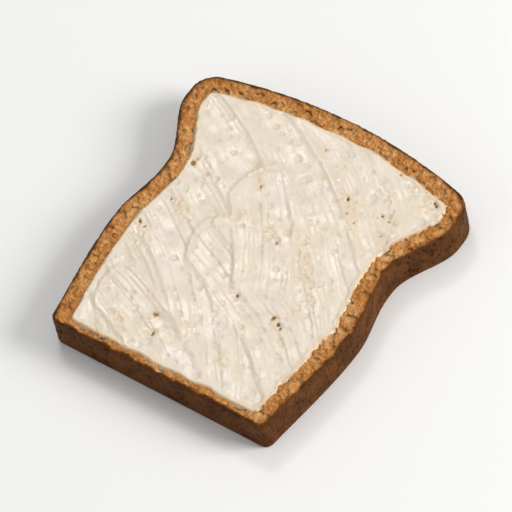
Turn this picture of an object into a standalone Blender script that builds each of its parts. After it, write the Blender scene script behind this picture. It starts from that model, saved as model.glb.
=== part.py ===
"""Buttered toast: one slice of white sandwich bread, toasted and spread with butter.

The slice lies flat on its underside. +X runs across it, +Y from its straight bottom edge to the crown of
the loaf, and +Z is up. The origin is on the resting plane, under the middle of the slice's box. Metres.

There are two pieces. The bread is one solid, with a raised crust rim round a shallow bed. The butter is a
thin layer that lies in the bed, marked by the strokes of the knife.
"""

import math

import bmesh
import bpy
from mathutils import Vector

# The slice as a whole
WIDTH = 0.118  # across the shoulders, its widest place
HEIGHT = 0.1235  # from the bottom edge to the crown
THICKNESS = 0.015

# The outline's right half. Heights run up from the bottom edge, half widths out from the middle line.
BOTTOM_HALF = 0.0465
BOTTOM_FLARE = 0.12  # how far the side leans out for each metre up, just above the bottom edge
BELLY_HEIGHT, BELLY_HALF = 0.0495, 0.0520
WAIST_LOW, WAIST_HIGH, WAIST_HALF = 0.0735, 0.0765, 0.0484
SHOULDER_HALF = WIDTH / 2
SHOULDER_LOW = 0.1035  # the side is upright from here to where the shoulder turns in
SHOULDER_RADIUS = 0.010
CROWN_RADIUS = 0.205  # the loaf's top is a shallow arch
BOTTOM_RADIUS = 0.0035
LEAST_RADIUS = 0.0008  # an inset corner is never sharper than this

# The crust rim, and the bed inside it
EDGE_RADIUS = 0.0011  # where the crust's outer wall turns into a cut face
RIM_WIDTH = 0.0070  # down both sides and over the crown
RIM_WIDTH_BOTTOM = 0.0036
BED_DEPTH = 0.0012
BED_SLOPE = 0.0008  # how far in from the rim the bed reaches its full depth

# The butter
GAP = 0.0003  # clearance to the bread, below and all round
BUTTER_THICKNESS = 0.00075  # in the trough of a stroke
RIDGE_HEIGHT = 0.00012  # a ridge between two strokes, above the trough
STROKE_WIDTH = 0.0165
STROKE_PIVOT = Vector((-0.130, -0.155))  # the strokes are arcs round the hand that held the knife
BUTTER_CELL = 0.0026  # the butter's top follows the strokes on squares of this size

# Steps along each stretch of the outline
BOTTOM_STEPS = 10  # on each half of the straight edge
CORNER_STEPS = 5
SIDE_STEPS = 40
SHOULDER_STEPS = 7
CROWN_STEPS = 7  # on each half of the arch
EDGE_STEPS = 3

CRUST_COLOUR = (0.485, 0.188, 0.048, 1.0)
BUTTER_COLOUR = (0.80, 0.70, 0.56, 1.0)


def side_at(height, top):
    """The side's half width and slope at a height, between the bottom edge and the shoulder's turn at top.

    Each knot is a height, a half width and a slope. A cubic runs from one knot to the next.
    """
    knots = [
        (0.0, BOTTOM_HALF, BOTTOM_FLARE),
        (BELLY_HEIGHT, BELLY_HALF, 0.0),
        (WAIST_LOW, WAIST_HALF, 0.0),
        (WAIST_HIGH, WAIST_HALF, 0.0),
        (SHOULDER_LOW, SHOULDER_HALF, 0.0),
        (top, SHOULDER_HALF, 0.0),
    ]
    below = max(i for i, knot in enumerate(knots[:-1]) if knot[0] <= height)
    (low, low_half, low_slope), (high, high_half, high_slope) = knots[below : below + 2]
    span = high - low
    t = (height - low) / span
    start, end = low_slope * span, high_slope * span
    square = 3 * (high_half - low_half) - 2 * start - end
    cube = start + end - 2 * (high_half - low_half)
    half = low_half + start * t + square * t**2 + cube * t**3
    return half, (start + 2 * square * t + 3 * cube * t**2) / span


def arc(centre, radius, start, end, steps):
    """Points on an arc, both ends included. Angles are in radians, turning from +X towards +Y."""
    points = []
    for i in range(steps + 1):
        angle = start + (end - start) * i / steps
        points.append(centre + radius * Vector((math.cos(angle), math.sin(angle))))
    return points


def outline(inset, bottom_inset):
    """The slice's outline moved inwards, counter-clockwise from the middle of the bottom edge.

    inset is the distance in from the sides and the crown, bottom_inset the distance in from the bottom
    edge. Every inset gives the same number of points, so that a skin can run from one to another.
    """
    # The crown's arch and the shoulder's corner touch when their centres lie R - r apart.
    crown_centre = Vector((0.0, HEIGHT - CROWN_RADIUS))
    shoulder_x = SHOULDER_HALF - SHOULDER_RADIUS
    reach = math.sqrt((CROWN_RADIUS - SHOULDER_RADIUS) ** 2 - shoulder_x**2)
    shoulder_centre = Vector((shoulder_x, crown_centre.y + reach))
    meeting_angle = math.atan2(reach, shoulder_x)

    # The bottom corner's arc touches the bottom edge and the leaning side.
    radius = max(BOTTOM_RADIUS - inset, LEAST_RADIUS)
    lean = math.atan(BOTTOM_FLARE)
    corner_top = bottom_inset + radius - (inset + radius) * math.sin(lean)
    half, slope = side_at(corner_top, shoulder_centre.y)
    corner_x = half - (inset + radius) * Vector((1.0, -slope)).normalized().x
    corner_centre = Vector((corner_x, bottom_inset + radius))

    straight = [corner_x * i / BOTTOM_STEPS for i in range(BOTTOM_STEPS)]
    right = [Vector((x, bottom_inset)) for x in straight]
    right += arc(corner_centre, radius, -math.pi / 2, -lean, CORNER_STEPS)
    for i in range(1, SIDE_STEPS):
        height = corner_top + (shoulder_centre.y - corner_top) * i / SIDE_STEPS
        half, slope = side_at(height, shoulder_centre.y)
        right.append(Vector((half, height)) - inset * Vector((1.0, -slope)).normalized())
    right += arc(shoulder_centre, SHOULDER_RADIUS - inset, 0.0, meeting_angle, SHOULDER_STEPS)
    right += arc(crown_centre, CROWN_RADIUS - inset, meeting_angle, math.pi / 2, CROWN_STEPS)[1:]

    # The left half repeats all but the two points on the middle line.
    left = [Vector((-point.x, point.y)) for point in reversed(right[1:-1])]
    middle = Vector((0.0, HEIGHT / 2))
    return [point - middle for point in right + left]


def loft(stations):
    """A closed skin through a ring at each station of inset, bottom inset and height, flat at both ends."""
    mesh = bmesh.new()
    rings = []
    for inset, bottom_inset, z in stations:
        rings.append([mesh.verts.new((p.x, p.y, z)) for p in outline(inset, bottom_inset)])
    for lower, upper in zip(rings, rings[1:]):
        for i, corner in enumerate(lower):
            mesh.faces.new((lower[i - 1], corner, upper[i], upper[i - 1]))
    mesh.faces.new(reversed(rings[0]))
    mesh.faces.new(rings[-1])
    return mesh


def rounded_edge(z, up):
    """Stations that turn the outer wall into a cut face at height z: up is 1 on top and -1 underneath."""
    stations = []
    for i in range(EDGE_STEPS + 1):
        angle = math.pi / 2 * i / EDGE_STEPS
        inset = EDGE_RADIUS * (1 - math.cos(angle))
        stations.append((inset, inset, z - up * EDGE_RADIUS * (1 - math.sin(angle))))
    return stations[::up]


def plain_material(name, colour, roughness):
    """A plain finish for one piece."""
    made = bpy.data.materials.new(name)
    made.use_nodes = True
    shader = made.node_tree.nodes["Principled BSDF"]
    shader.inputs["Base Color"].default_value = colour
    shader.inputs["Roughness"].default_value = roughness
    shader.inputs["Metallic"].default_value = 0.0
    return made


def add_object(name, mesh, finish):
    """Turns a finished bmesh into an object with one material."""
    data = bpy.data.meshes.new(name)
    mesh.to_mesh(data)
    mesh.free()
    data.materials.append(finish)
    data.shade_smooth()
    data.set_sharp_from_angle(angle=math.radians(35))
    made = bpy.data.objects.new(name, data)
    bpy.context.scene.collection.objects.link(made)
    return made


def make_bread():
    """The slice, as one skin from its underside up the outer wall and over the rim to the bed."""
    stations = [
        *rounded_edge(0.0, -1),
        *rounded_edge(THICKNESS, 1),
        (RIM_WIDTH, RIM_WIDTH_BOTTOM, THICKNESS),
        (RIM_WIDTH + BED_SLOPE, RIM_WIDTH_BOTTOM + BED_SLOPE, THICKNESS - BED_DEPTH),
    ]
    crust = plain_material("toasted_crust", CRUST_COLOUR, 0.75)
    add_object("bread_slice", loft(stations), crust)


def stroke_height(place):
    """How far the butter stands above a trough, highest where one stroke of the knife meets the next."""
    strokes = (place - STROKE_PIVOT).length / STROKE_WIDTH
    return RIDGE_HEIGHT * abs(math.cos(math.pi * strokes)) ** 3


def butter_sheet():
    """A slab as large as the slice, flat underneath and marked by the knife on top."""
    underside = THICKNESS - BED_DEPTH + GAP
    sheet = bmesh.new()
    columns = math.ceil(WIDTH / BUTTER_CELL)
    rows = math.ceil(HEIGHT / BUTTER_CELL)
    bmesh.ops.create_grid(sheet, x_segments=columns, y_segments=rows, size=0.5)
    bmesh.ops.scale(sheet, vec=(WIDTH, HEIGHT, 1.0), verts=sheet.verts)
    bmesh.ops.translate(sheet, vec=(0.0, 0.0, underside), verts=sheet.verts)
    raised = bmesh.ops.extrude_face_region(sheet, geom=sheet.faces[:])["geom"]
    for part in raised:
        if isinstance(part, bmesh.types.BMVert):
            part.co.z += BUTTER_THICKNESS + stroke_height(part.co.xy)
    bmesh.ops.recalc_face_normals(sheet, faces=sheet.faces)
    return sheet


def make_butter():
    """The butter: the sheet, cut to the bed's outline with a clearance all round."""
    cream = plain_material("soft_butter", BUTTER_COLOUR, 0.4)
    butter = add_object("butter_layer", butter_sheet(), cream)
    clear = RIM_WIDTH + BED_SLOPE + GAP
    clear_bottom = RIM_WIDTH_BOTTOM + BED_SLOPE + GAP
    prism = loft([(clear, clear_bottom, 0.0), (clear, clear_bottom, 2 * THICKNESS)])
    cutter = add_object("butter_outline", prism, cream)
    cutter.hide_render = True
    cutter.display_type = "WIRE"
    trim = butter.modifiers.new("trim_to_bed", "BOOLEAN")
    trim.operation = "INTERSECT"
    trim.object = cutter


def main():
    for old in list(bpy.data.objects):
        bpy.data.objects.remove(old)
    make_bread()
    make_butter()


main()
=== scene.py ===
# %% [markdown]
# # A slice of buttered toast
#
# The solids of this slice are already made: a bread slice with a raised rim, and a thin layer of butter
# that lies inside it. They have the true outline and thickness, but a smooth block doesn't look like food.
# This lesson gives both their real surfaces: a crumb full of holes, a baked crust, and butter pulled by a
# knife.
#
# We start from the solids, because every piece that we make has to sit exactly where they are. Their box is
# kept.

# %% Load the solids
import math

import bmesh
import bpy
import numpy as np
from mathutils import Matrix, Vector, noise
from mathutils.kdtree import KDTree


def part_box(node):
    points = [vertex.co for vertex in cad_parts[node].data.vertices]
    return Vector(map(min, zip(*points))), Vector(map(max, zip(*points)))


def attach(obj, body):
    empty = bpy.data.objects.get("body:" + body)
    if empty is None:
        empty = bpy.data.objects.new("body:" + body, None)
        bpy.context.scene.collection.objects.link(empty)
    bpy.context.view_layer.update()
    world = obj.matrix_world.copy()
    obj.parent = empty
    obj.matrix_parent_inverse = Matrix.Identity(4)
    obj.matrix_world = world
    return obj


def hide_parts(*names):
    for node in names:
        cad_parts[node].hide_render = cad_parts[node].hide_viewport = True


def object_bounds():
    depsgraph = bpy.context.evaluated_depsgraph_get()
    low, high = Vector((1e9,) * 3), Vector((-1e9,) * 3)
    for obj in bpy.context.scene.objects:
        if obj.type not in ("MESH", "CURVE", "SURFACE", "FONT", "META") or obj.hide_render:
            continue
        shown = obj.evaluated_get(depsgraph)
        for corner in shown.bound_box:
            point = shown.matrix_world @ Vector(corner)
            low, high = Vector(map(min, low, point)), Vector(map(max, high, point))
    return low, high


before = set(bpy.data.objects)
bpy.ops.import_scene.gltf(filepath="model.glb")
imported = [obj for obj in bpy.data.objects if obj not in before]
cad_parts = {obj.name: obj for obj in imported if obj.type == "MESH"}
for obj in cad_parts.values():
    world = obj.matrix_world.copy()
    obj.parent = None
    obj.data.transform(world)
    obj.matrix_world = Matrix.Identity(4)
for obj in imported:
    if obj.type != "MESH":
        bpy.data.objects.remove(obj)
solid_low, solid_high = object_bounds()

MM = 0.001
bread_low, bread_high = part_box("bread_slice")
butter_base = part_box("butter_layer")[0].z
print("slice, in mm:", [round(side / MM, 1) for side in bread_high - bread_low])

# %% [markdown]
# ## Small tools for shaping
#
# Surfaces here are shaped by moving the corners of a fine mesh, a little at a time, like a sculptor does. It
# is quickest to do that on all corners at once, so these tools read a mesh into arrays and write it back.

# %% Meshes in and out
SAME_CORNER = 0.001 * MM  # corners closer than this are one


def merged_copy(node):
    """A copy of a solid to work on, with its loose triangles joined at their corners."""
    solid = bmesh.new()
    solid.from_mesh(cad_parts[node].data)
    bmesh.ops.remove_doubles(solid, verts=solid.verts, dist=SAME_CORNER)
    return solid


def finished_mesh(shape, name):
    """The mesh of a shape that needs no more work."""
    mesh = bpy.data.meshes.new(name)
    shape.to_mesh(mesh)
    shape.free()
    return mesh


def add_piece(name, mesh):
    """Links a mesh into the scene as a piece, shaded smooth."""
    mesh.shade_smooth()
    piece = bpy.data.objects.new(name, mesh)
    bpy.context.scene.collection.objects.link(piece)
    return piece


def settle(piece):
    """Turns a piece's modifiers into its own mesh."""
    evaluated = piece.evaluated_get(bpy.context.evaluated_depsgraph_get())
    finished = bpy.data.meshes.new_from_object(evaluated)
    piece.modifiers.clear()
    piece.data = finished


def triangles_of(mesh):
    """How many triangles a mesh makes."""
    mesh.calc_loop_triangles()
    return len(mesh.loop_triangles)


def corners_of(mesh):
    """The places of a mesh's corners, in metres."""
    places = np.empty(len(mesh.vertices) * 3, np.float32)
    mesh.vertices.foreach_get("co", places)
    return places.reshape(-1, 3).astype(float)


def normals_of(mesh):
    """The direction that each corner of a mesh faces."""
    facing = np.empty(len(mesh.vertices) * 3, np.float32)
    mesh.vertex_normals.foreach_get("vector", facing)
    return facing.reshape(-1, 3).astype(float)


def move_corners(mesh, places):
    """Puts a mesh's corners at new places."""
    mesh.vertices.foreach_set("co", places.astype(np.float32).ravel())
    mesh.update()


def add_number(mesh, name, values):
    """Stores one number for each corner of a mesh, for its material to read."""
    stored = mesh.attributes.new(name, "FLOAT", "POINT")
    stored.data.foreach_set("value", values.astype(np.float32))


for node in ("bread_slice", "butter_layer"):
    print(node, "has", triangles_of(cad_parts[node].data), "triangles")

# %% [markdown]
# Two kinds of number shape everything below: a smooth step, which fades one thing into the next, and noise,
# which keeps it uneven. The noise is Blender's own, and every random draw starts from a fixed seed, so the
# toast is the same each time.

# %% Steps and noise
SEED_SPREAD = 17.3  # each seed reads the noise this far from the last


def step(low, high, value):
    """0 below low and 1 above high, with a smooth ramp between them."""
    t = np.clip((value - low) / (high - low), 0, 1)
    return t * t * (3 - 2 * t)


def wander(points, size, seed):
    """Smooth noise of about -1 to 1 at each point. Its lumps have one size, or one for each axis."""
    scaled = points / np.asarray(size) + seed * SEED_SPREAD
    return np.array([noise.noise(place) for place in scaled.tolist()])


print("a step from 0 to 1, at each quarter:", step(0, 1, np.linspace(0, 1, 5)).round(2).tolist())

# %% [markdown]
# ## How far from the edge?
#
# Toast changes with the distance from its edge: crust, then browned crumb, then butter. Noise textures can't
# know where the edge is, so we measure it. A level cut through each solid gives its outline as a loop of
# edges. For any point we can then ask how deep inside that outline it lies.

# %% Outlines of the bread and of the butter
def plan_outline(node):
    """The corners, in order, of the loop where a level plane cuts a solid halfway up."""
    low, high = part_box(node)
    solid = merged_copy(node)
    bmesh.ops.bisect_plane(
        solid,
        geom=solid.verts[:] + solid.edges[:] + solid.faces[:],
        plane_co=(low + high) / 2,
        plane_no=(0, 0, 1),
        clear_inner=True,
        clear_outer=True,
    )
    solid.verts.ensure_lookup_table()
    corner = solid.verts[0]
    edge = corner.link_edges[0]
    loop = []
    for _ in solid.verts:
        loop.append(corner.co.xy[:])
        corner = edge.other_vert(corner)
        edge = next(other for other in corner.link_edges if other is not edge)
    solid.free()
    return np.array(loop)


def depth_inside(points, loop):
    """How far inside an outline each point lies in plan, in metres. Outside it, the depth is negative."""
    nearest = np.full(len(points), np.inf)
    inside = np.zeros(len(points), bool)
    x, y = points[:, 0], points[:, 1]
    for (ax, ay), (bx, by) in zip(loop, np.roll(loop, -1, axis=0)):
        run, rise = bx - ax, by - ay
        along = np.clip(((x - ax) * run + (y - ay) * rise) / (run**2 + rise**2), 0, 1)
        nearest = np.minimum(nearest, (ax + along * run - x) ** 2 + (ay + along * rise - y) ** 2)
        if rise:
            crossing = (ay > y) != (by > y)
            inside ^= crossing & (x < ax + (y - ay) * run / rise)
    return np.where(inside, 1.0, -1.0) * np.sqrt(nearest)


bread_outline = plan_outline("bread_slice")
butter_outline = plan_outline("butter_layer")
print("outline corners:", len(bread_outline), "round the bread,", len(butter_outline), "round the butter")

# %% [markdown]
# ## The holes of the crumb
#
# Bread is a foam. Where the knife cuts it, each gas bubble leaves a round hollow: mostly small ones side by
# side, and a few large ones. One way to make them is a Voronoi texture, but its cells are all of one size
# and all alike. Here a loop places each hole on its own, with its own size, stretch and turn. The same list
# then serves the bread, where the holes are cut, and the butter, which sags into the larger ones.

# %% Scatter the holes
HOLE_SHAKE = 0.55  # how far a hole may lie from its grid corner, as a share of the spacing
MOST_STRETCH = 1.7
HOLE_MARGIN = 1.6 * MM  # no hole is centred nearer to the slice's edge


def scatter_holes(spacing, typical_radius, variety, seed):
    """Rows of x, y, radius, stretch and turn: one hole in each square of a shaken grid over the slice."""
    draw = np.random.default_rng(seed)
    x, y = np.meshgrid(
        np.arange(bread_low.x, bread_high.x, spacing),
        np.arange(bread_low.y, bread_high.y, spacing),
    )
    count = x.size
    shake = draw.uniform(-HOLE_SHAKE, HOLE_SHAKE, (2, count)) * spacing
    radius = typical_radius * np.exp(draw.normal(0, variety, count))
    stretch = draw.uniform(1.0, MOST_STRETCH, count)
    turn = draw.uniform(0, math.pi, count)
    holes = np.stack([x.ravel() + shake[0], y.ravel() + shake[1], radius, stretch, turn], axis=1)
    return holes[depth_inside(holes, bread_outline) > HOLE_MARGIN]


fine_holes = scatter_holes(spacing=1.6 * MM, typical_radius=0.62 * MM, variety=0.32, seed=3)
large_holes = scatter_holes(spacing=5.0 * MM, typical_radius=1.10 * MM, variety=0.30, seed=8)
print("holes:", len(fine_holes), "fine,", len(large_holes), "large")

# %% [markdown]
# A true ellipse looks drilled. So the points are shaken a little before we ask which hole they lie in, and
# every brim comes out uneven. A KD tree finds the few corners near each hole quickly.

# %% How deep in a hole?
BRIM_SHAKE = 0.45 * MM
BRIM_LUMP = 1.6 * MM


def hollows(points, holes, squareness):
    """How deep each point lies in the deepest hole there is, for holes as deep as their radius.

    A squareness of 0.5 is a round bowl. A lower one has steeper walls, and a higher one a softer brim.
    """
    uneven = points.copy()
    uneven[:, 0] += BRIM_SHAKE * wander(points, BRIM_LUMP, seed=31)
    uneven[:, 1] += BRIM_SHAKE * wander(points, BRIM_LUMP, seed=32)
    flat = KDTree(len(points))
    for index, place in enumerate(uneven[:, :2].tolist()):
        flat.insert((*place, 0.0), index)
    flat.balance()
    deepest = np.zeros(len(points))
    for x, y, radius, stretch, turn in holes.tolist():
        near = flat.find_range((x, y, 0.0), radius * stretch)
        across, up = math.cos(turn), math.sin(turn)
        for place, index, _ in near:
            along = ((place.x - x) * across + (place.y - y) * up) / (radius * stretch)
            aside = ((place.y - y) * across - (place.x - x) * up) / radius
            inside = 1 - along**2 - aside**2
            if inside > 0:
                deepest[index] = max(deepest[index], radius * inside**squareness)
    return deepest


print("widest hole, in mm:", round(2 * large_holes[:, 2].max() / MM, 1))

# %% [markdown]
# ## The bread
#
# The piece starts as a copy of the bread solid. A voxel remesh turns it into an even net of small squares,
# fine enough to hold the holes. A subdivision would do too, but the solid's long thin triangles would stay
# long and thin.

# %% A fine net over the bread
NET_SQUARE = 0.34 * MM


def fine_copy(node, name, square):
    """A copy of a solid as an even net of small squares."""
    piece = add_piece(name, finished_mesh(merged_copy(node), name))
    net = piece.modifiers.new("net", "REMESH")
    net.mode = "VOXEL"
    net.voxel_size = square
    net.use_smooth_shade = True
    settle(piece)
    return piece


bread = fine_copy("bread_slice", "bread", NET_SQUARE)
print("bread net:", len(bread.data.vertices), "corners")

# %% [markdown]
# ### Crumb and crust
#
# Now the corners move. The cut faces get the holes, a fine grain and a slow sag, and their rim is a little
# worn. The crust was baked against the tin, so it has only shallow dents, wrinkles and pinholes. Everything
# moves inwards, so the slice never grows. First we say where each of the two is.

# %% Where the crumb shows
CRUST_THICKNESS = 1.45 * MM
CRUST_FADE = 0.4 * MM  # the crust turns to crumb from this much before its thickness to this much past it
BARE_MARGIN = 1.0 * MM  # the crumb is worked this far in under the butter's edge


def cut_face_weight(facing):
    """1 on a slice's flat cut faces, and 0 on its crust."""
    return step(0.45, 0.85, np.abs(facing[:, 2]))


def crumb_weight(points, facing):
    """1 where the cut crumb shows, and 0 on the crust, whose inner edge is a little uneven."""
    uneven = 0.9 * MM * wander(points, 5 * MM, seed=4) + 0.4 * MM * wander(points, 1.5 * MM, seed=14)
    depth = depth_inside(points, bread_outline) + uneven
    inner, outer = CRUST_THICKNESS + CRUST_FADE, CRUST_THICKNESS - CRUST_FADE
    return cut_face_weight(facing) * step(outer, inner, depth)


print("crust, in mm:", round(CRUST_THICKNESS / MM, 2))

# %% [markdown]
# Next comes how deep everything goes. Each kind of mark is one line: how deep it is, and noise with lumps of
# its own size. The upper face also sags slowly, but the underside lies flat on the table.

# %% How deep everything goes
DEEPEST_HOLE = 1.15 * MM
LEAST_SINK = 0.05 * MM  # the whole crumb lies this much in, to make room for its grain


def cut_face_depth(places, facing):
    """How far the knife and the toaster have sunk the cut faces: holes, grain, a slow sag, a worn edge."""
    upper = facing[:, 2] > 0
    crumb = crumb_weight(places, facing)
    crumb *= 1 - step(0, BARE_MARGIN, depth_inside(places, butter_outline)) * upper
    holes = 0.85 * hollows(places, fine_holes, 0.6) + 0.85 * hollows(places, large_holes, 0.5)
    grain = 0.09 * MM * wander(places, 0.9 * MM, seed=2)
    sag = 0.22 * MM * (1 + wander(places, 26 * MM, seed=5)) / 2
    crust_edge = 1 - step(0.8 * MM, 2.4 * MM, depth_inside(places, bread_outline))
    worn = 0.22 * MM * crust_edge * (1 + wander(places, (2.2 * MM, 2.2 * MM, 9 * MM), seed=15))
    return crumb * (np.minimum(holes, DEEPEST_HOLE) + grain + LEAST_SINK) + (sag + worn) * upper


def crust_depth(places):
    """How far the baked crust lies inside its solid: dents, ripples, wrinkles and pinholes."""
    dents = 0.30 * MM * (1 + wander(places, 11 * MM, seed=7)) / 2
    ripples = 0.16 * MM * (1 + wander(places, (3.4 * MM, 3.4 * MM, 2.2 * MM), seed=16)) / 2
    wrinkles = 0.30 * MM * (0.5 - np.abs(wander(places, (2.4 * MM, 2.4 * MM, 4.5 * MM), seed=6)))
    pinholes = 0.55 * MM * step(0.24, 0.50, wander(places, 1.35 * MM, seed=9))
    return dents + ripples + np.maximum(wrinkles, 0) + pinholes


print("deepest hole, in mm:", round(DEEPEST_HOLE / MM, 2))

# %% [markdown]
# The solid's rim is level and drops to the bed in a slope. A real cut face has no such step: the crumb dries
# and sinks a little more than the crust, and carries on under the butter. So the rim is sloped in first, and
# let down to the bed just inside the butter's edge, where it can't be seen.

# %% Shape the bread
BED = butter_base - 0.3 * MM  # the butter's solid clears the bed by this much
RIM_SINK = 0.3 * MM
RIM_START = 1.2 * MM  # the rim keeps its height this far in from the outline


def sink_cut_face(places):
    """Slopes the rim gently inwards, and carries it on a little way under the butter's edge."""
    depth, under = depth_inside(places, bread_outline), depth_inside(places, butter_outline)
    sink = RIM_SINK * step(-5 * MM, -1 * MM, under) * step(RIM_START, 3.0 * MM, depth)
    level = bread_high.z - sink
    level += (BED - level) * step(0, BARE_MARGIN, under)
    on_top = (places[:, 2] > BED - 0.3 * MM) & (depth > RIM_START)
    places[:, 2] = np.where(on_top, level, places[:, 2])


def shape_bread(piece):
    """Moves the corners of the net inwards, to make the crumb and the crust."""
    places = corners_of(piece.data)
    sink_cut_face(places)
    move_corners(piece.data, places)
    facing = normals_of(piece.data)
    cut_face = cut_face_weight(facing)
    depth = cut_face * cut_face_depth(places, facing) + (1 - cut_face) * crust_depth(places)
    places -= facing * depth[:, None]
    places[:, 2] = np.maximum(places[:, 2], 0)
    move_corners(piece.data, places)


shape_bread(bread)
print("bread's top, in mm:", round(corners_of(bread.data)[:, 2].max() / MM, 2))

# %% [markdown]
# ### Spend the triangles where they show
#
# The net is far too fine where little happens. A Decimate modifier merges the corners that matter least. It
# runs twice: first on the underside alone, because the slice lies on it, and then all over. It may leave a
# corner just under the table, so at the end those are lifted back.

# %% Thin out the net
MOST_TRIANGLES = 190_000
UNDERSIDE_SHARE = 0.3  # how much of the underside's net is kept


def thin_out(piece, triangles, only=None):
    """Takes triangles away where they matter least, all over or only at some corners."""
    thinning = piece.modifiers.new("thinning", "DECIMATE")
    thinning.ratio = triangles / triangles_of(piece.data)
    if only is not None:
        group = piece.vertex_groups.new(name="may_thin")
        group.add(only.tolist(), 1.0, "REPLACE")
        thinning.vertex_group = group.name
    settle(piece)
    piece.vertex_groups.clear()


underside = np.flatnonzero(normals_of(bread.data)[:, 2] < -0.5)
spare = 2 * len(underside) * (1 - UNDERSIDE_SHARE)  # an even net has two triangles for each corner
thin_out(bread, triangles_of(bread.data) - spare, only=underside)
thin_out(bread, MOST_TRIANGLES)
levelled = corners_of(bread.data)
levelled[:, 2] = np.maximum(levelled[:, 2], 0)
move_corners(bread.data, levelled)
print("bread:", triangles_of(bread.data), "triangles")

# %% [markdown]
# The finish has to know things that only the mesh can tell: how far the crust is, where the crumb starts,
# and what lies in a hole. Each is stored as a number at every corner. The piece then rides on the body that
# the solid rides on, and stands for it.

# %% Measure the bread for its finish
FULL_HOLLOW = 0.7 * MM  # a hole this deep counts as a full hollow


def measure_bread(piece):
    """Stores what the bread's finish needs to know at each corner."""
    places, facing = corners_of(piece.data), normals_of(piece.data)
    holes = hollows(places, np.concatenate([fine_holes, large_holes]), 0.7)
    add_number(piece.data, "edge_mm", depth_inside(places, bread_outline) / MM)
    add_number(piece.data, "crumb", crumb_weight(places, facing))
    add_number(piece.data, "hollow", np.clip(holes / FULL_HOLLOW, 0, 1))


measure_bread(bread)
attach(bread, "root")
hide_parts("bread_slice")
print("stored on the bread:", [stored.name for stored in bread.data.attributes])

# %% [markdown]
# ## The butter
#
# Soft butter is pulled over the toast in a few curved strokes. Each stroke leaves a shallow trough, with a
# ridge along its outer edge, fine lines along its length, and a lip where the blade lifts off. Noise alone
# never looks like that, so each stroke is drawn on its own, as an arc round the hand that holds the knife. A
# later stroke wipes out what it crosses.

# %% Lanes and streaks
HAND = np.array([-130.0, -155.0]) * MM  # where it stands, from the middle of the slice


def lane(points, hand, reach, seed):
    """Where each point lies on an arc round a hand: how far outside it, and how far along it."""
    offset = points[:, :2] - hand
    unsteady = 1.6 * MM * wander(points, 30 * MM, seed)
    unsteady += 0.4 * MM * wander(points, 8 * MM, seed + 1)
    away = np.hypot(offset[:, 0], offset[:, 1]) - reach + unsteady
    along = np.arctan2(offset[:, 1], offset[:, 0]) * reach + unsteady
    return away, along


def streaks(away, along, width, length, seed):
    """Noise drawn out along a lane, as a blade draws out butter."""
    return wander(np.stack([away / width, along / length, 0 * away], axis=1), 1, seed)


print("the hand is", round(np.hypot(*HAND) / MM), "mm from the middle of the slice")

# %% [markdown]
# A stroke works on the heights that it is given, and gives back new ones. Inside its band it pulls the
# butter to its own trough, whatever was there. Then it adds the ridge and the lip. Heights in here are in
# millimetres, because a tenth of one is already a clear mark in butter.

# %% One stroke of the knife
FADE_IN, FADE_OUT = 1.7 * MM, 0.7 * MM  # the trough fades out across each side of the blade
START_RUN = 7 * MM  # the blade sinks in over this length
LIFT_RUN = 1.8 * MM  # and comes out over this one
TROUGH_RISE = 0.40  # how much higher the trough is at the blade's sides than in its middle
RIDGE_HEIGHT, RIDGE_WIDTH = 0.24, 1.3 * MM
LIP_HEIGHT, LIP_WIDTH = 0.34, 1.4 * MM


def drag_knife(points, height, hand, reach, width, start, end, seed):
    """Draws the knife once over the butter, along an arc round the hand, and returns the new heights.

    The blade leaves a shallow trough, combed lengthways. A roll of butter lies along its outer side, and a
    lip where the blade lifts off.
    """
    draw = np.random.default_rng(seed)
    away, along = lane(points, hand, reach, seed)
    across = away / (width / 2)
    to_go = end + 0.30 * away - 0.22 * width * across**2 - along
    side = np.abs(away) - width / 2
    band = (1 - step(-FADE_IN, FADE_OUT, side)) * step(start, start + START_RUN, along)
    band *= step(0, LIFT_RUN, to_go)

    trough = TROUGH_RISE * across**2 + draw.uniform(-0.12, 0.04) + draw.uniform(-0.16, 0.16) * across
    combed = 0.16 * streaks(away, along, 2.6 * MM, 46 * MM, seed + 2)
    combed += 0.10 * streaks(away, along, 1.1 * MM, 30 * MM, seed + 3)
    height = height + band * (MM * (trough + combed) - height)

    uneven = 0.35 + 0.65 * step(-0.35, 0.35, streaks(away, along, 20 * MM, 18 * MM, seed + 4))
    within = step(start, start + 10 * MM, along) * step(-0.6 * MM, 1.6 * MM, to_go)
    outer = np.exp(-(((away - width / 2) / RIDGE_WIDTH) ** 2)) * within * uneven
    lip = np.exp(-((to_go / LIP_WIDTH) ** 2)) * (1 - step(-2 * MM, 1 * MM, side))
    return height + MM * (RIDGE_HEIGHT * outer + LIP_HEIGHT * lip)


print("a ridge stands", RIDGE_HEIGHT, "mm high, and a lip", LIP_HEIGHT, "mm")

# %% [markdown]
# The first pass covers the slice, stroke beside stroke, a little wider than they are apart. The second goes
# back over part of it, from other sides, and its strokes end on the slice, where each leaves a lip.

# %% All the strokes
FIRST_PASS = np.arange(126, 284, 17) * MM  # how far each stroke is from the hand
FIRST_WIDTH = 20 * MM
FIRST_START, FIRST_END = -1, 1  # in metres, so far off the slice that neither end shows
SECOND_PASS = [  # hand, reach, width, start and end, in millimetres
    ((-92, -205), 176, 21, 158, 222),
    ((-92, -205), 213, 22, 176, 262),
    ((-168, -112), 205, 22, 96, 152),
]


def spread_butter(points):
    """The height of the butter above its level, after every stroke."""
    height = 0.12 * MM * wander(points, 9 * MM, seed=40)
    for number, reach in enumerate(FIRST_PASS):
        stroke = reach, FIRST_WIDTH, FIRST_START, FIRST_END
        height = drag_knife(points, height, HAND, *stroke, 50 + 10 * number)
    for number, (hand, reach, width, start, end) in enumerate(SECOND_PASS):
        stroke = np.array([reach, width, start, end]) * MM
        height = drag_knife(points, height, np.array(hand) * MM, *stroke, 200 + 10 * number)
    return height


print("strokes of the knife:", len(FIRST_PASS), "and then", len(SECOND_PASS))

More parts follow.
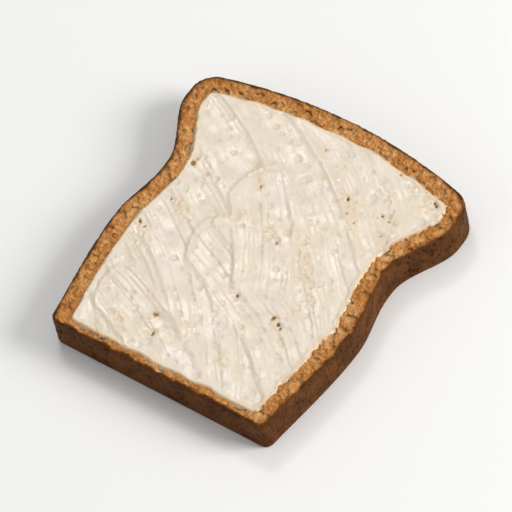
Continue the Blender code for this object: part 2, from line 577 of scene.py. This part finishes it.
# %% [markdown]
# ### A sheet for the strokes
#
# The butter starts as a flat grid, and the squares past its edge are taken away. The edge is left uneven,
# because a knife never follows the crust exactly. It may reach a little past the solid's outline, over the
# slope of the bed.

# %% Cut the sheet
BUTTER_SQUARE = 0.35 * MM
BUTTER_OVERLAP = 1.0 * MM
SHEET_MARGIN = 0.9 * MM  # the sheet carries on this far past the edge, to go down into the bread
BUTTER_LEVEL = bread_high.z - 0.34 * MM


def butter_edge(points):
    """How far inside the butter's uneven edge each point lies."""
    ragged = 0.9 * MM * wander(points, 9 * MM, seed=21) + 0.35 * MM * wander(points, 2.6 * MM, seed=22)
    return depth_inside(points, butter_outline) + BUTTER_OVERLAP + ragged


def flat_sheet(name):
    """A level grid over the slice, with the squares beyond the butter's edge taken away."""
    size = bread_high - bread_low
    sheet = bmesh.new()
    columns, rows = (math.ceil(side / BUTTER_SQUARE) for side in size.xy)
    bmesh.ops.create_grid(sheet, x_segments=columns, y_segments=rows, size=0.5)
    bmesh.ops.scale(sheet, vec=(size.x, size.y, 1), verts=sheet.verts)
    bmesh.ops.translate(sheet, vec=(0, 0, BUTTER_LEVEL), verts=sheet.verts)
    places = np.array([corner.co[:] for corner in sheet.verts])
    outside = butter_edge(places) < -SHEET_MARGIN
    beyond = [corner for corner, is_outside in zip(sheet.verts, outside) if is_outside]
    bmesh.ops.delete(sheet, geom=beyond, context="VERTS")
    return finished_mesh(sheet, name)


butter_mesh = flat_sheet("butter")
print("butter sheet:", len(butter_mesh.vertices), "corners")

# %% [markdown]
# ### Lift, sag and tuck in
#
# The strokes lift the sheet, and it sags where the crumb has holes. Where the blade has scraped it thin, the
# fine holes show through, and a few of the large ones stay open as small pits. At its edge the sheet rounds
# off and dives into the bread, so that what shows is the natural line where butter ends.

# %% Shape the sheet
BUTTER_UNDERSIDE = butter_base - 0.25 * MM
LEAST_BUTTER = 0.1 * MM
MOST_RISE = 0.66 * MM  # no ridge stands higher above the butter's level
EDGE_BEAD = 0.16 * MM  # a soft bead of butter just inside the edge
EDGE_ROUND = 0.9 * MM
EDGE_DROP = 0.9 * MM  # how far below the slice's top the sheet's edge is buried
pits = large_holes * (1, 1, 0.5, 1, 1)  # half as wide as the holes they open into


def scraped_thin(points):
    """1 where the blade has scraped the butter thin, in streaks along its strokes."""
    away, along = lane(points, HAND, 200 * MM, 50)
    drawn_out = streaks(away, along, 7 * MM, 26 * MM, 23)
    return step(0.20, 0.62, drawn_out + 0.4 * wander(points, 5 * MM, seed=24))


def shape_butter(mesh):
    """Lifts the sheet by the strokes, lowers it over holes and sinks its edge into the bread."""
    places = corners_of(mesh)
    edge = butter_edge(places)
    thin = scraped_thin(places)
    bead = EDGE_BEAD * np.exp(-(((edge - 1.1 * MM) / (0.8 * MM)) ** 2))
    rise = spread_butter(places) * (1 - 0.3 * thin)
    rise = np.maximum(rise, MM * (0.06 - step(1.0 * MM, 3.5 * MM, edge))) + bead
    rise = MOST_RISE * np.tanh(rise / MOST_RISE)
    dips = 0.13 * hollows(places, large_holes, 2.2)
    dips += (0.03 + 0.22 * thin) * hollows(places, fine_holes, 1.3)
    torn = 1.5 * hollows(places, pits, 0.6) * step(0.7, 0.95, thin)
    height = np.maximum(BUTTER_LEVEL + rise - dips - torn, BUTTER_UNDERSIDE + LEAST_BUTTER)
    rounded = np.sqrt(np.clip(1 - (1 - np.clip(edge / EDGE_ROUND, 0, 1)) ** 2, 0, 1))
    buried = bread_high.z - EDGE_DROP + np.minimum(edge, 0) * 0.5
    places[:, 2] = buried + (height - buried) * rounded
    move_corners(mesh, places)
    add_number(mesh, "thin", np.maximum(thin, 1 - step(0.3 * MM, 1.4 * MM, edge)))
    add_number(mesh, "open_hole", step(0.15 * MM, 0.6 * MM, torn))
    add_number(mesh, "soaked", 1 - step(0.35 * MM, 1.2 * MM, edge))


shape_butter(butter_mesh)
print("butter's top, in mm:", round(corners_of(butter_mesh)[:, 2].max() / MM, 2))

# %% [markdown]
# A sheet has no inside, and a piece of food does. So one wide face is drawn across the sheet's rim and
# pushed down to a level underside, and the push leaves a wall behind it. Recalculated normals can all face
# in as well as all face out, and the sign of the volume tells which.

# %% Close the sheet
def close_sheet(mesh):
    """Gives the sheet walls and a flat underside just above the bed."""
    sheet = bmesh.new()
    sheet.from_mesh(mesh)
    rim = [edge for edge in sheet.edges if edge.is_boundary]
    across = bmesh.ops.holes_fill(sheet, edges=rim, sides=0)["faces"]
    for underside in bmesh.ops.extrude_discrete_faces(sheet, faces=across)["faces"]:
        for corner in underside.verts:
            corner.co.z = BUTTER_UNDERSIDE
    bmesh.ops.recalc_face_normals(sheet, faces=sheet.faces)
    if sheet.calc_volume(signed=True) < 0:
        bmesh.ops.reverse_faces(sheet, faces=sheet.faces)
    print("butter's volume, in cubic cm:", round(sheet.calc_volume(signed=True) * 1e6, 2))
    sheet.to_mesh(mesh)
    sheet.free()


close_sheet(butter_mesh)
butter = add_piece("butter", butter_mesh)
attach(butter, "root")
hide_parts("butter_layer")
print("butter:", triangles_of(butter_mesh), "triangles")

# %% [markdown]
# ## Tools for the finishes
#
# A finish is a small network of nodes. These tools keep each one short: they add a node, join its inputs,
# and hand back its output. Sizes are given in millimetres, and every pattern reads Object coordinates, so it
# stays on the food wherever the food goes.

# %% Nodes in a few words
class Finish:
    """A material, with short ways to add nodes to it."""

    def __init__(self, name):
        self.material = bpy.data.materials.new(name)
        self.material.use_nodes = True
        self.tree = self.material.node_tree
        self.surface = self.tree.nodes["Principled BSDF"]
        self.place = self.tree.nodes.new("ShaderNodeTexCoord").outputs["Object"]

    def node(self, kind, inputs, output=0, **settings):
        """Adds a node, fills or joins its inputs, and returns one of its outputs."""
        made = self.tree.nodes.new("ShaderNode" + kind)
        for name, value in settings.items():
            setattr(made, name, value)
        for name, value in inputs.items():
            self.join(value, made.inputs[name])
        return made.outputs[output]

    def join(self, value, socket):
        """Links an output to a socket, or sets a plain value on it."""
        if isinstance(value, bpy.types.NodeSocket):
            self.tree.links.new(value, socket)
        else:
            socket.default_value = value

    def stored(self, name):
        """A number that was stored on the mesh."""
        return self.node("Attribute", {}, "Fac", attribute_name=name)

    def lumps(self, size_mm, detail=2.0, roughness=0.5):
        """Noise of 0 to 1 with lumps of a size in millimetres."""
        inputs = {"Vector": self.place, "Scale": 1000 / size_mm, "Detail": detail}
        inputs["Roughness"] = roughness
        return self.node("TexNoise", inputs, "Fac")

    def maths(self, operation, first, second=0.0, clamp=False):
        """One sum on one or two numbers."""
        return self.node("Math", {0: first, 1: second}, operation=operation, use_clamp=clamp)

    def fit(self, value, low, high, to_low=0.0, to_high=1.0):
        """Moves a number from one range to another, and stops at its ends."""
        inputs = {"Value": value, "From Min": low, "From Max": high}
        inputs |= {"To Min": to_low, "To Max": to_high}
        return self.node("MapRange", inputs, "Result", interpolation_type="SMOOTHSTEP")

    def blend(self, factor, first, second):
        """Mixes two colours."""
        made = self.tree.nodes.new("ShaderNodeMix")
        made.data_type = "RGBA"
        self.join(factor, made.inputs[0])
        self.join(first, made.inputs[6])
        self.join(second, made.inputs[7])
        return made.outputs[2]

    def bump(self, height, height_mm, normal=None):
        """A bump whose white stands a height in millimetres above its black."""
        inputs = {"Height": height, "Distance": height_mm * MM, "Strength": 1.0}
        if normal:
            inputs["Normal"] = normal
        return self.node("Bump", inputs)


print("a finish can:", [name for name in vars(Finish) if not name.startswith("_")])

# %% [markdown]
# ## The finish of the toast
#
# In a toaster the thin walls between the holes brown first, and the hollows stay paler. So the browning is a
# sum: slow patches, fine grain, less of it in the hollows and more near the crust. The sum then picks a
# colour, from straw through caramel to dark brown.

# %% Crumb
STRAW = (0.72, 0.40, 0.150, 1)
CARAMEL = (0.56, 0.235, 0.064, 1)
DARK_TOAST = (0.235, 0.078, 0.020, 1)


def crumb_look(f):
    """Colour and relief of the toasted crumb."""
    hollow = f.stored("hollow")
    cells = f.node("TexVoronoi", {"Vector": f.place, "Scale": 1000 / 0.8, "Randomness": 1.0}, "Distance")
    foam = f.fit(cells, 0.1, 0.75)
    grain = f.lumps(0.7, 3.0, roughness=0.6)
    browning = f.fit(f.lumps(11, 2.0), 0.3, 0.7, 0.14, 0.48)
    for amount in (
        f.fit(f.lumps(2.6, 3.0), 0.3, 0.7, -0.18, 0.18),
        f.fit(grain, 0.3, 0.7, -0.16, 0.16),
        f.maths("MULTIPLY", foam, 0.18),
        f.fit(f.stored("edge_mm"), 1.5, 3.5, 0.16, 0.0),
        f.maths("MULTIPLY", hollow, -0.28),
    ):
        browning = f.maths("ADD", browning, amount)
    lighter = f.blend(f.fit(browning, 0.0, 0.45), STRAW, CARAMEL)
    colour = f.blend(f.fit(browning, 0.45, 1.0), lighter, DARK_TOAST)
    return colour, f.maths("ADD", foam, grain)


print("crumb, from pale to dark:", STRAW[:3], CARAMEL[:3], DARK_TOAST[:3])

# %% [markdown]
# The crust was baked in the tin, so it is darker, denser and a little smoother than the crumb. It is blotchy,
# with rubbed places where the brown is lighter, and dark specks. The top of a loaf browns most, so the crust
# gets darker towards the crown.

# %% Crust
CRUST_BROWN = (0.140, 0.050, 0.011, 1)
CRUST_DARK = (0.070, 0.023, 0.005, 1)
CRUST_RUBBED = (0.23, 0.092, 0.024, 1)
CRUST_SPECK = (0.040, 0.014, 0.005, 1)
DARKER_FROM = 0.035  # the height up the loaf, in metres of Y, where the crown's darker crust begins


def crust_look(f):
    """Colour and relief of the baked crust."""
    up_the_loaf = f.node("SeparateXYZ", {"Vector": f.place}, "Y")
    crown = f.fit(up_the_loaf, DARKER_FROM, bread_high.y, -0.10, 0.45)
    blotches = f.fit(f.lumps(8, 4.0, roughness=0.6), 0.32, 0.68)
    colour = f.blend(f.maths("ADD", blotches, crown, clamp=True), CRUST_BROWN, CRUST_DARK)
    rubbed = f.fit(f.lumps(1.1, 4.0, roughness=0.7), 0.56, 0.72)
    colour = f.blend(f.maths("MULTIPLY", rubbed, 0.55), colour, CRUST_RUBBED)
    specks = f.fit(f.lumps(0.6, 3.0), 0.55, 0.68)
    colour = f.blend(f.maths("MULTIPLY", specks, 0.6), colour, CRUST_SPECK)
    return colour, f.lumps(0.65, 4.0, roughness=0.65)


print("crust, from pale to dark:", CRUST_RUBBED[:3], CRUST_BROWN[:3], CRUST_DARK[:3])

# %% [markdown]
# Both looks go into one material, and the stored crumb number says which of them a place gets. Dry toast
# hardly shines, so the specular level is low.

# %% Toast finish
CRUST_ROUGHNESS, CRUMB_ROUGHNESS = 0.55, 0.85
CRUST_BUMP_MM, CRUMB_BUMP_MM = 0.25, 0.20


def toast_finish():
    """Browned crumb on the cut faces and baked crust on the outer wall."""
    f = Finish("browned_toast")
    crumb = f.stored("crumb")
    crumb_colour, crumb_relief = crumb_look(f)
    crust_colour, crust_relief = crust_look(f)
    f.join(f.blend(crumb, crust_colour, crumb_colour), f.surface.inputs["Base Color"])
    f.join(f.fit(crumb, 0, 1, CRUST_ROUGHNESS, CRUMB_ROUGHNESS), f.surface.inputs["Roughness"])
    f.surface.inputs["Specular IOR Level"].default_value = 0.07
    crust_bump = f.bump(crust_relief, CRUST_BUMP_MM)
    crumb_bump = f.bump(f.maths("MULTIPLY", crumb, crumb_relief), CRUMB_BUMP_MM, crust_bump)
    f.join(crumb_bump, f.surface.inputs["Normal"])
    return f.material


bread.data.materials.clear()
bread.data.materials.append(toast_finish())
print("toast finish:", len(bread.data.materials[0].node_tree.nodes), "nodes")

# %% [markdown]
# ## The finish of the butter
#
# Butter lets light in a little way and scatters it, which is why it looks soft. Subsurface scattering does
# the same. Where the layer is thin, and along the edge where it soaks into the toast, the browned crumb
# warms its colour. Its gloss changes from place to place, because a knife leaves some of it smooth and drags
# some of it rough.

# %% Butter finish
CREAM = (0.770, 0.665, 0.525, 1)
PALE_CREAM = (0.800, 0.703, 0.592, 1)
WARMED = (0.74, 0.48, 0.22, 1)
SOAKED = (0.68, 0.44, 0.19, 1)
# the pits show the browned crumb; the second, darker brown is painted shade for the hollow of each pit
PIT_BROWN, PIT_PAINTED_SHADE = (0.52, 0.26, 0.09, 1), (0.26, 0.10, 0.028, 1)
SCATTER_RADIUS = (1.0, 0.75, 0.4)  # red light goes furthest into butter


def butter_finish():
    """Soft pale butter, warmer where it is thin."""
    f = Finish("soft_butter")
    thin, open_hole = f.stored("thin"), f.stored("open_hole")
    grain = f.fit(f.lumps(0.9, 3.0), 0.42, 0.62)
    colour = f.blend(f.fit(f.lumps(14, 2.0), 0.3, 0.7), CREAM, PALE_CREAM)
    colour = f.blend(f.maths("MULTIPLY", f.maths("MULTIPLY", thin, grain), 0.42), colour, WARMED)
    colour = f.blend(f.maths("MULTIPLY", f.stored("soaked"), 0.6), colour, SOAKED)
    # in the open pits: browned crumb, mixed in fine patches with a darker brown that is painted shade
    colour = f.blend(f.fit(open_hole, 0.3, 0.9), colour, f.blend(grain, PIT_BROWN, PIT_PAINTED_SHADE))
    f.join(colour, f.surface.inputs["Base Color"])
    smears = f.fit(f.lumps(6, 3.0), 0.3, 0.7, 0.20, 0.38)
    f.join(f.fit(open_hole, 0.3, 0.9, smears, 0.8), f.surface.inputs["Roughness"])
    f.surface.inputs["Subsurface Weight"].default_value = 0.5
    f.surface.inputs["Subsurface Radius"].default_value = SCATTER_RADIUS
    f.surface.inputs["Subsurface Scale"].default_value = 1.4 * MM
    f.surface.inputs["IOR"].default_value = 1.46
    f.join(f.bump(f.lumps(0.8, 3.0), 0.014), f.surface.inputs["Normal"])
    return f.material


butter.data.materials.append(butter_finish())
print("butter finish:", len(butter.data.materials[0].node_tree.nodes), "nodes")

# %% [markdown]
# ## The studio
#
# A pale floor that curves up far away has no edge to see, so the toast stands in an even, bright space. It
# is a spun curve: one radius, turned all the way round.

# %% Floor
FLOOR_RADIUS = 3.2
FLOOR_BEND = 0.8
BEND_STEPS = 8
SPIN_STEPS = 64
WHITE_PAPER, WHITER_PAPER = (0.94, 0.94, 0.935, 1), (0.95, 0.95, 0.945, 1)


def make_floor():
    """A round floor whose edge curves up into a low wall."""
    floor = bmesh.new()
    bend_start = FLOOR_RADIUS - FLOOR_BEND
    profile = [floor.verts.new((0, 0, 0)), floor.verts.new((bend_start, 0, 0))]
    for i in range(1, BEND_STEPS + 1):
        angle = math.pi / 2 * i / BEND_STEPS
        x = bend_start + FLOOR_BEND * math.sin(angle)
        profile.append(floor.verts.new((x, 0, FLOOR_BEND * (1 - math.cos(angle)))))
    edges = [floor.edges.new(pair) for pair in zip(profile, profile[1:])]
    bmesh.ops.spin(
        floor,
        geom=profile + edges,
        axis=(0, 0, 1),
        cent=(0, 0, 0),
        angle=2 * math.pi,
        steps=SPIN_STEPS,
        use_merge=True,
    )
    bmesh.ops.remove_doubles(floor, verts=floor.verts, dist=0.01 * MM)
    bmesh.ops.recalc_face_normals(floor, faces=floor.faces)
    bmesh.ops.reverse_faces(floor, faces=[face for face in floor.faces if face.normal.z < -0.01])
    return add_piece("floor", finished_mesh(floor, "floor"))


def paper_finish():
    """Smooth matt paper, with a tone that hardly changes."""
    f = Finish("pale_paper")
    tone = f.fit(f.lumps(400, 1.0), 0.3, 0.7)
    f.join(f.blend(tone, WHITE_PAPER, WHITER_PAPER), f.surface.inputs["Base Color"])
    f.surface.inputs["Roughness"].default_value = 0.9
    f.surface.inputs["Specular IOR Level"].default_value = 0.2
    return f.material


floor = make_floor()
floor.data.materials.append(paper_finish())
print("floor, across in m:", 2 * FLOOR_RADIUS)

# %% [markdown]
# Large lamps give soft shadows. One of them is stronger and stands low to the side, so that the holes and
# ridges show. A small one faces the viewer across the toast, and puts a soft sheen on the butter. The room
# around them fills the shadows with even light.

# %% Lamps
def add_lamp(name, direction, distance, size, power, colour=(1, 1, 1)):
    """A square soft lamp that shines at the toast from a direction."""
    data = bpy.data.lights.new(name, "AREA")
    data.size = size
    data.energy = power
    data.color = colour
    lamp = bpy.data.objects.new(name, data)
    away = Vector(direction).normalized()
    lamp.location = away * distance
    lamp.rotation_euler = away.to_track_quat("Z", "Y").to_euler()
    bpy.context.scene.collection.objects.link(lamp)
    print(name, "stands", distance, "m away, at", power, "W")


add_lamp("key_lamp", (0.95, 0.45, 0.64), 1.7, 0.8, 23, (1, 0.985, 0.96))
add_lamp("top_lamp", (-0.1, 0.1, 1.0), 1.8, 1.6, 5.5)
add_lamp("low_lamp", (-0.6, -1.0, 0.6), 1.8, 1.2, 3, (0.96, 0.98, 1))
add_lamp("sheen_lamp", (-0.41, 0.39, 0.83), 1.7, 0.35, 4)

world = bpy.data.worlds.new("soft_room")
world.use_nodes = True
world.node_tree.nodes["Background"].inputs["Color"].default_value = (1, 0.99, 0.98, 1)
world.node_tree.nodes["Background"].inputs["Strength"].default_value = 0.30
bpy.context.scene.world = world
bpy.context.scene.view_settings.view_transform = "Standard"

# %% [markdown]
# ## The camera
#
# A very long lens from far away keeps the slice's edges almost parallel. The camera looks down from the
# slice's lower right, and leans a little to one side, as if the slice had been propped up.

# %% Camera
TURN, RISE, LEAN = (math.radians(angle) for angle in (46.22, 55.61, -14.13))
LENS_MM = 400.0
SENSOR_MM = 36.0
FRAME_WIDTH = 0.182  # what the picture spans at the toast, in metres

away = Vector((math.sin(TURN) * math.cos(RISE), -math.cos(TURN) * math.cos(RISE), math.sin(RISE)))
distance = FRAME_WIDTH * LENS_MM / SENSOR_MM
camera_data = bpy.data.cameras.new("camera")
camera_data.lens = LENS_MM
camera_data.sensor_width = SENSOR_MM
camera_data.clip_end = 20
camera = bpy.data.objects.new("camera", camera_data)
place = Matrix.Translation((solid_low + solid_high) / 2 + away * distance)
upright = away.to_track_quat("Z", "Y").to_matrix().to_4x4()
camera.matrix_world = place @ upright @ Matrix.Rotation(LEAN, 4, "Z")
bpy.context.scene.collection.objects.link(camera)
bpy.context.scene.camera = camera
print("camera, away in m:", round(distance, 2))

# %% [markdown]
# ## The size
#
# The finished toast has to be the size of its solids.
